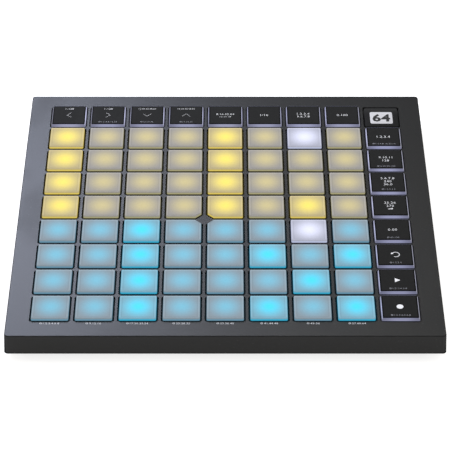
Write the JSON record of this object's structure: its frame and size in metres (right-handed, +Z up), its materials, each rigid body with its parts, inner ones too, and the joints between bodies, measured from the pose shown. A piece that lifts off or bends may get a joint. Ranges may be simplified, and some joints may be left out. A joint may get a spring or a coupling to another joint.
{
  "type": "midi pad controller",
  "caption": "Flat square desktop controller with a grid of lit pads, black buttons behind and at the right, a fixed corner tile and a socket in the back wall.",
  "frame": {"origin": "on the table, under the middle of the case", "axes": "+X to the user's right, +Y to the back wall with the socket, +Z up out of the pads"},
  "size_m": [0.2418, 0.2418, 0.0202],
  "materials": {
    "case_plastic": "fine satin grain, charcoal",
    "board_laminate": "green solder mask",
    "light_emitter": "white package with a clear lens",
    "chip_plastic": "black moulding compound",
    "socket_steel": "plated steel shell",
    "sensor_film": "printed film",
    "shroud_plastic": "white, reflects the light",
    "mat_rubber": "black silicone",
    "tile_plastic": "gloss black with a white lit window",
    "screw_steel": "black zinc",
    "foot_rubber": "matt black",
    "button_plastic": "black face on a translucent lilac body",
    "pad_yellow": "milky translucent, lit yellow from below",
    "pad_blue": "milky translucent, lit blue from below"
  },
  "bodies": {
    "case": {"top_case": "case_plastic", "bottom_case": "case_plastic", "circuit_board": "board_laminate", "key_lights": "light_emitter", "board_chips": "chip_plastic", "usb_socket": "socket_steel", "sensor_film": "sensor_film", "light_shroud": "shroud_plastic", "rubber_mat": "mat_rubber", "corner_tile": "tile_plastic", "case_screws": "screw_steel", "rubber_feet": "foot_rubber"},
    "left_arrow_button": {"left_arrow_button": "button_plastic"},
    "right_arrow_button": {"right_arrow_button": "button_plastic"},
    "down_arrow_button": {"down_arrow_button": "button_plastic"},
    "up_arrow_button": {"up_arrow_button": "button_plastic"},
    "mode_button_1": {"mode_button_1": "button_plastic"},
    "mode_button_2": {"mode_button_2": "button_plastic"},
    "mode_button_3": {"mode_button_3": "button_plastic"},
    "mode_button_4": {"mode_button_4": "button_plastic"},
    "side_button_1": {"side_button_1": "button_plastic"},
    "side_button_2": {"side_button_2": "button_plastic"},
    "side_button_3": {"side_button_3": "button_plastic"},
    "side_button_4": {"side_button_4": "button_plastic"},
    "side_button_5": {"side_button_5": "button_plastic"},
    "undo_button": {"undo_button": "button_plastic"},
    "play_button": {"play_button": "button_plastic"},
    "record_button": {"record_button": "button_plastic"},
    "pads_row1_col1_2": {"pads_row1_col1_2": "pad_yellow"},
    "pads_row1_col3_4": {"pads_row1_col3_4": "pad_yellow"},
    "pads_row1_col5_6": {"pads_row1_col5_6": "pad_yellow"},
    "pads_row1_col7_8": {"pads_row1_col7_8": "pad_yellow"},
    "pads_row2_col1_2": {"pads_row2_col1_2": "pad_yellow"},
    "pads_row2_col3_4": {"pads_row2_col3_4": "pad_yellow"},
    "pads_row2_col5_6": {"pads_row2_col5_6": "pad_yellow"},
    "pads_row2_col7_8": {"pads_row2_col7_8": "pad_yellow"},
    "pads_row3_col1_2": {"pads_row3_col1_2": "pad_yellow"},
    "pads_row3_col3_4": {"pads_row3_col3_4": "pad_yellow"},
    "pads_row3_col5_6": {"pads_row3_col5_6": "pad_yellow"},
    "pads_row3_col7_8": {"pads_row3_col7_8": "pad_yellow"},
    "pads_row4_col1_2": {"pads_row4_col1_2": "pad_yellow"},
    "pads_row4_col3_4": {"pads_row4_col3_4": "pad_yellow"},
    "pads_row4_col5_6": {"pads_row4_col5_6": "pad_yellow"},
    "pads_row4_col7_8": {"pads_row4_col7_8": "pad_yellow"},
    "pads_row5_col1_2": {"pads_row5_col1_2": "pad_blue"},
    "pads_row5_col3_4": {"pads_row5_col3_4": "pad_blue"},
    "pads_row5_col5_6": {"pads_row5_col5_6": "pad_blue"},
    "pads_row5_col7_8": {"pads_row5_col7_8": "pad_blue"},
    "pads_row6_col1_2": {"pads_row6_col1_2": "pad_blue"},
    "pads_row6_col3_4": {"pads_row6_col3_4": "pad_blue"},
    "pads_row6_col5_6": {"pads_row6_col5_6": "pad_blue"},
    "pads_row6_col7_8": {"pads_row6_col7_8": "pad_blue"},
    "pads_row7_col1_2": {"pads_row7_col1_2": "pad_blue"},
    "pads_row7_col3_4": {"pads_row7_col3_4": "pad_blue"},
    "pads_row7_col5_6": {"pads_row7_col5_6": "pad_blue"},
    "pads_row7_col7_8": {"pads_row7_col7_8": "pad_blue"},
    "pads_row8_col1_2": {"pads_row8_col1_2": "pad_blue"},
    "pads_row8_col3_4": {"pads_row8_col3_4": "pad_blue"},
    "pads_row8_col5_6": {"pads_row8_col5_6": "pad_blue"},
    "pads_row8_col7_8": {"pads_row8_col7_8": "pad_blue"}
  },
  "joints": [
    {"name": "left_arrow_button_press", "type": "slide", "parent": "case", "child": "left_arrow_button", "axis": [0, 0, -1], "range_m": [0, 0.001], "stiffness_N_per_m": 900},
    {"name": "right_arrow_button_press", "type": "slide", "parent": "case", "child": "right_arrow_button", "axis": [0, 0, -1], "range_m": [0, 0.001], "stiffness_N_per_m": 900},
    {"name": "down_arrow_button_press", "type": "slide", "parent": "case", "child": "down_arrow_button", "axis": [0, 0, -1], "range_m": [0, 0.001], "stiffness_N_per_m": 900},
    {"name": "up_arrow_button_press", "type": "slide", "parent": "case", "child": "up_arrow_button", "axis": [0, 0, -1], "range_m": [0, 0.001], "stiffness_N_per_m": 900},
    {"name": "mode_button_1_press", "type": "slide", "parent": "case", "child": "mode_button_1", "axis": [0, 0, -1], "range_m": [0, 0.001], "stiffness_N_per_m": 900},
    {"name": "mode_button_2_press", "type": "slide", "parent": "case", "child": "mode_button_2", "axis": [0, 0, -1], "range_m": [0, 0.001], "stiffness_N_per_m": 900},
    {"name": "mode_button_3_press", "type": "slide", "parent": "case", "child": "mode_button_3", "axis": [0, 0, -1], "range_m": [0, 0.001], "stiffness_N_per_m": 900},
    {"name": "mode_button_4_press", "type": "slide", "parent": "case", "child": "mode_button_4", "axis": [0, 0, -1], "range_m": [0, 0.001], "stiffness_N_per_m": 900},
    {"name": "side_button_1_press", "type": "slide", "parent": "case", "child": "side_button_1", "axis": [0, 0, -1], "range_m": [0, 0.001], "stiffness_N_per_m": 900},
    {"name": "side_button_2_press", "type": "slide", "parent": "case", "child": "side_button_2", "axis": [0, 0, -1], "range_m": [0, 0.001], "stiffness_N_per_m": 900},
    {"name": "side_button_3_press", "type": "slide", "parent": "case", "child": "side_button_3", "axis": [0, 0, -1], "range_m": [0, 0.001], "stiffness_N_per_m": 900},
    {"name": "side_button_4_press", "type": "slide", "parent": "case", "child": "side_button_4", "axis": [0, 0, -1], "range_m": [0, 0.001], "stiffness_N_per_m": 900},
    {"name": "side_button_5_press", "type": "slide", "parent": "case", "child": "side_button_5", "axis": [0, 0, -1], "range_m": [0, 0.001], "stiffness_N_per_m": 900},
    {"name": "undo_button_press", "type": "slide", "parent": "case", "child": "undo_button", "axis": [0, 0, -1], "range_m": [0, 0.001], "stiffness_N_per_m": 900},
    {"name": "play_button_press", "type": "slide", "parent": "case", "child": "play_button", "axis": [0, 0, -1], "range_m": [0, 0.001], "stiffness_N_per_m": 900},
    {"name": "record_button_press", "type": "slide", "parent": "case", "child": "record_button", "axis": [0, 0, -1], "range_m": [0, 0.001], "stiffness_N_per_m": 900},
    {"name": "pads_row1_col1_2_press", "type": "slide", "parent": "case", "child": "pads_row1_col1_2", "axis": [0, 0, -1], "range_m": [0, 0.001], "stiffness_N_per_m": 900},
    {"name": "pads_row1_col3_4_press", "type": "slide", "parent": "case", "child": "pads_row1_col3_4", "axis": [0, 0, -1], "range_m": [0, 0.001], "stiffness_N_per_m": 900},
    {"name": "pads_row1_col5_6_press", "type": "slide", "parent": "case", "child": "pads_row1_col5_6", "axis": [0, 0, -1], "range_m": [0, 0.001], "stiffness_N_per_m": 900},
    {"name": "pads_row1_col7_8_press", "type": "slide", "parent": "case", "child": "pads_row1_col7_8", "axis": [0, 0, -1], "range_m": [0, 0.001], "stiffness_N_per_m": 900},
    {"name": "pads_row2_col1_2_press", "type": "slide", "parent": "case", "child": "pads_row2_col1_2", "axis": [0, 0, -1], "range_m": [0, 0.001], "stiffness_N_per_m": 900},
    {"name": "pads_row2_col3_4_press", "type": "slide", "parent": "case", "child": "pads_row2_col3_4", "axis": [0, 0, -1], "range_m": [0, 0.001], "stiffness_N_per_m": 900},
    {"name": "pads_row2_col5_6_press", "type": "slide", "parent": "case", "child": "pads_row2_col5_6", "axis": [0, 0, -1], "range_m": [0, 0.001], "stiffness_N_per_m": 900},
    {"name": "pads_row2_col7_8_press", "type": "slide", "parent": "case", "child": "pads_row2_col7_8", "axis": [0, 0, -1], "range_m": [0, 0.001], "stiffness_N_per_m": 900},
    {"name": "pads_row3_col1_2_press", "type": "slide", "parent": "case", "child": "pads_row3_col1_2", "axis": [0, 0, -1], "range_m": [0, 0.001], "stiffness_N_per_m": 900},
    {"name": "pads_row3_col3_4_press", "type": "slide", "parent": "case", "child": "pads_row3_col3_4", "axis": [0, 0, -1], "range_m": [0, 0.001], "stiffness_N_per_m": 900},
    {"name": "pads_row3_col5_6_press", "type": "slide", "parent": "case", "child": "pads_row3_col5_6", "axis": [0, 0, -1], "range_m": [0, 0.001], "stiffness_N_per_m": 900},
    {"name": "pads_row3_col7_8_press", "type": "slide", "parent": "case", "child": "pads_row3_col7_8", "axis": [0, 0, -1], "range_m": [0, 0.001], "stiffness_N_per_m": 900},
    {"name": "pads_row4_col1_2_press", "type": "slide", "parent": "case", "child": "pads_row4_col1_2", "axis": [0, 0, -1], "range_m": [0, 0.001], "stiffness_N_per_m": 900},
    {"name": "pads_row4_col3_4_press", "type": "slide", "parent": "case", "child": "pads_row4_col3_4", "axis": [0, 0, -1], "range_m": [0, 0.001], "stiffness_N_per_m": 900},
    {"name": "pads_row4_col5_6_press", "type": "slide", "parent": "case", "child": "pads_row4_col5_6", "axis": [0, 0, -1], "range_m": [0, 0.001], "stiffness_N_per_m": 900},
    {"name": "pads_row4_col7_8_press", "type": "slide", "parent": "case", "child": "pads_row4_col7_8", "axis": [0, 0, -1], "range_m": [0, 0.001], "stiffness_N_per_m": 900},
    {"name": "pads_row5_col1_2_press", "type": "slide", "parent": "case", "child": "pads_row5_col1_2", "axis": [0, 0, -1], "range_m": [0, 0.001], "stiffness_N_per_m": 900},
    {"name": "pads_row5_col3_4_press", "type": "slide", "parent": "case", "child": "pads_row5_col3_4", "axis": [0, 0, -1], "range_m": [0, 0.001], "stiffness_N_per_m": 900},
    {"name": "pads_row5_col5_6_press", "type": "slide", "parent": "case", "child": "pads_row5_col5_6", "axis": [0, 0, -1], "range_m": [0, 0.001], "stiffness_N_per_m": 900},
    {"name": "pads_row5_col7_8_press", "type": "slide", "parent": "case", "child": "pads_row5_col7_8", "axis": [0, 0, -1], "range_m": [0, 0.001], "stiffness_N_per_m": 900},
    {"name": "pads_row6_col1_2_press", "type": "slide", "parent": "case", "child": "pads_row6_col1_2", "axis": [0, 0, -1], "range_m": [0, 0.001], "stiffness_N_per_m": 900},
    {"name": "pads_row6_col3_4_press", "type": "slide", "parent": "case", "child": "pads_row6_col3_4", "axis": [0, 0, -1], "range_m": [0, 0.001], "stiffness_N_per_m": 900},
    {"name": "pads_row6_col5_6_press", "type": "slide", "parent": "case", "child": "pads_row6_col5_6", "axis": [0, 0, -1], "range_m": [0, 0.001], "stiffness_N_per_m": 900},
    {"name": "pads_row6_col7_8_press", "type": "slide", "parent": "case", "child": "pads_row6_col7_8", "axis": [0, 0, -1], "range_m": [0, 0.001], "stiffness_N_per_m": 900},
    {"name": "pads_row7_col1_2_press", "type": "slide", "parent": "case", "child": "pads_row7_col1_2", "axis": [0, 0, -1], "range_m": [0, 0.001], "stiffness_N_per_m": 900},
    {"name": "pads_row7_col3_4_press", "type": "slide", "parent": "case", "child": "pads_row7_col3_4", "axis": [0, 0, -1], "range_m": [0, 0.001], "stiffness_N_per_m": 900},
    {"name": "pads_row7_col5_6_press", "type": "slide", "parent": "case", "child": "pads_row7_col5_6", "axis": [0, 0, -1], "range_m": [0, 0.001], "stiffness_N_per_m": 900},
    {"name": "pads_row7_col7_8_press", "type": "slide", "parent": "case", "child": "pads_row7_col7_8", "axis": [0, 0, -1], "range_m": [0, 0.001], "stiffness_N_per_m": 900},
    {"name": "pads_row8_col1_2_press", "type": "slide", "parent": "case", "child": "pads_row8_col1_2", "axis": [0, 0, -1], "range_m": [0, 0.001], "stiffness_N_per_m": 900},
    {"name": "pads_row8_col3_4_press", "type": "slide", "parent": "case", "child": "pads_row8_col3_4", "axis": [0, 0, -1], "range_m": [0, 0.001], "stiffness_N_per_m": 900},
    {"name": "pads_row8_col5_6_press", "type": "slide", "parent": "case", "child": "pads_row8_col5_6", "axis": [0, 0, -1], "range_m": [0, 0.001], "stiffness_N_per_m": 900},
    {"name": "pads_row8_col7_8_press", "type": "slide", "parent": "case", "child": "pads_row8_col7_8", "axis": [0, 0, -1], "range_m": [0, 0.001], "stiffness_N_per_m": 900}
  ]
}
